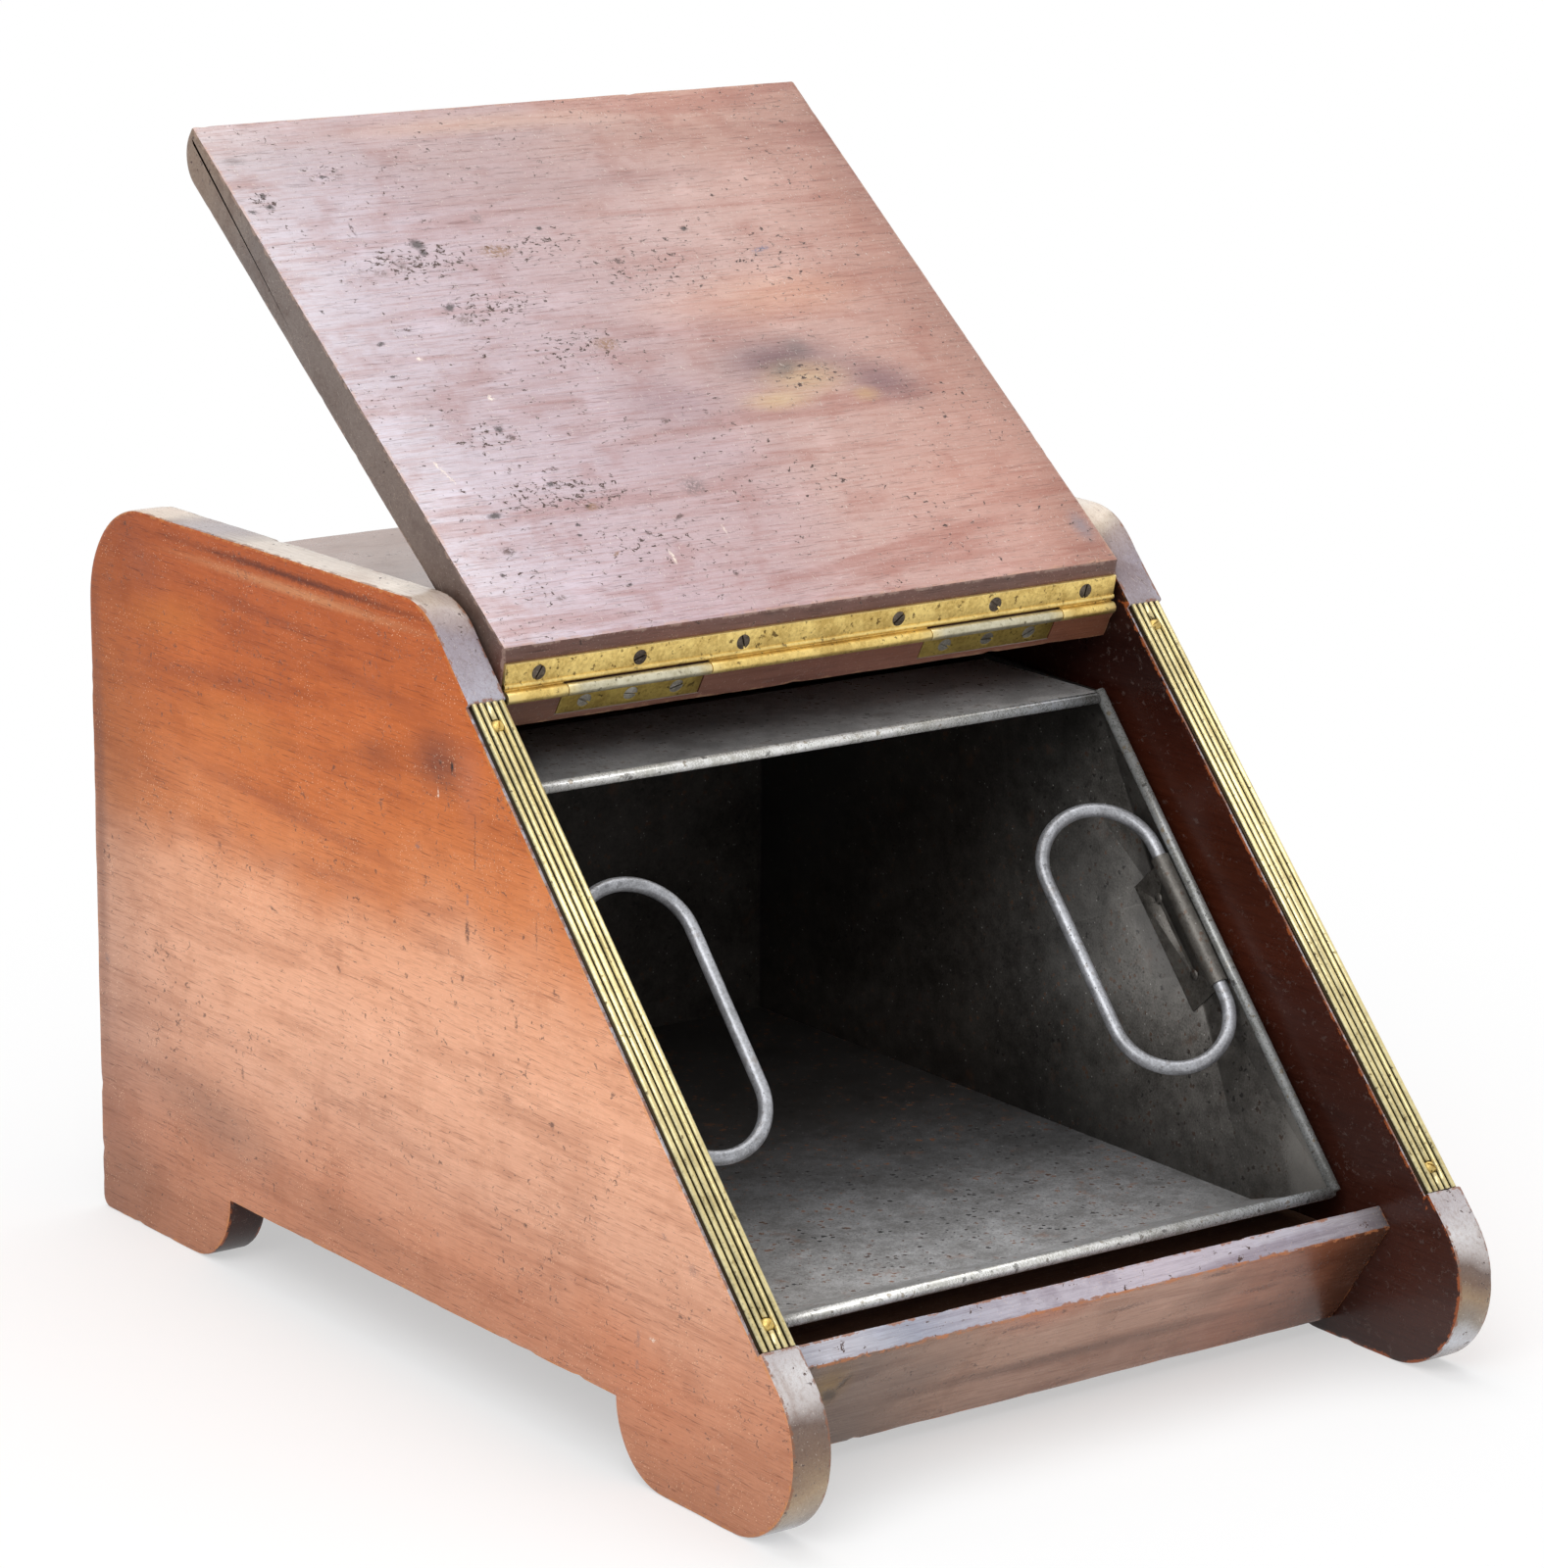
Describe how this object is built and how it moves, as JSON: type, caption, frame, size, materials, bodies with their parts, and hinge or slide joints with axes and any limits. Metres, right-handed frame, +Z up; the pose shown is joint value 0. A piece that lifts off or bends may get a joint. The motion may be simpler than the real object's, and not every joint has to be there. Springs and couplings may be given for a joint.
{
  "type": "coal scuttle",
  "caption": "Slant-front mahogany coal box on rounded feet, with a brass-hinged lid thrown back and a lift-out steel liner with wire bails.",
  "frame": {"origin": "centre of the footprint, on the floor under the feet", "axes": "+Z up, +Y towards the back board, +X to the right seen from the slanted mouth"},
  "size_m": [0.33, 0.486, 0.4544],
  "materials": {
    "mahogany": "worn french polish",
    "brass": "aged",
    "screw_steel": "dull",
    "sheet_steel": "tarnished",
    "galvanised_wire": "dull galvanised"
  },
  "bodies": {
    "box": {"left_side": "mahogany", "right_side": "mahogany", "back_board": "mahogany", "top_board": "mahogany", "bottom_board": "mahogany", "front_apron": "mahogany", "left_trim_strip": "brass", "right_trim_strip": "brass", "trim_screws": "brass", "left_short_leaf": "brass", "right_short_leaf": "brass", "short_leaf_screws": "screw_steel"},
    "lid": {"lid_board": "mahogany", "long_leaf": "brass", "hinge_pin": "screw_steel", "long_leaf_screws": "screw_steel"},
    "liner": {"liner_left_wall": "sheet_steel", "liner_right_wall": "sheet_steel", "liner_hood": "sheet_steel", "liner_back": "sheet_steel", "liner_floor": "sheet_steel", "liner_lip": "sheet_steel", "left_strap": "sheet_steel", "right_strap": "sheet_steel", "strap_rivets": "sheet_steel"},
    "bail_left": {"left_bail": "galvanised_wire"},
    "bail_right": {"right_bail": "galvanised_wire"}
  },
  "joints": [
    {"name": "lid_hinge", "type": "hinge", "parent": "box", "child": "lid", "pos_m": [0, -0.03284, 0.26636], "axis": [1, 0, 0], "range_deg": [0, 190.5]},
    {"name": "liner_slide", "type": "slide", "parent": "box", "child": "liner", "axis": [0, -0.9703, 0.2419], "range_m": [0, 0.47]},
    {"name": "left_bail_hinge", "type": "hinge", "parent": "liner", "child": "bail_left", "pos_m": [-0.13719, -0.0933, 0.15179], "axis": [0, 0.6604, 0.7509], "range_deg": [-7, 93]},
    {"name": "right_bail_hinge", "type": "hinge", "parent": "liner", "child": "bail_right", "pos_m": [0.13719, -0.0933, 0.15179], "axis": [0, -0.6604, -0.7509], "range_deg": [-30, 70]}
  ]
}
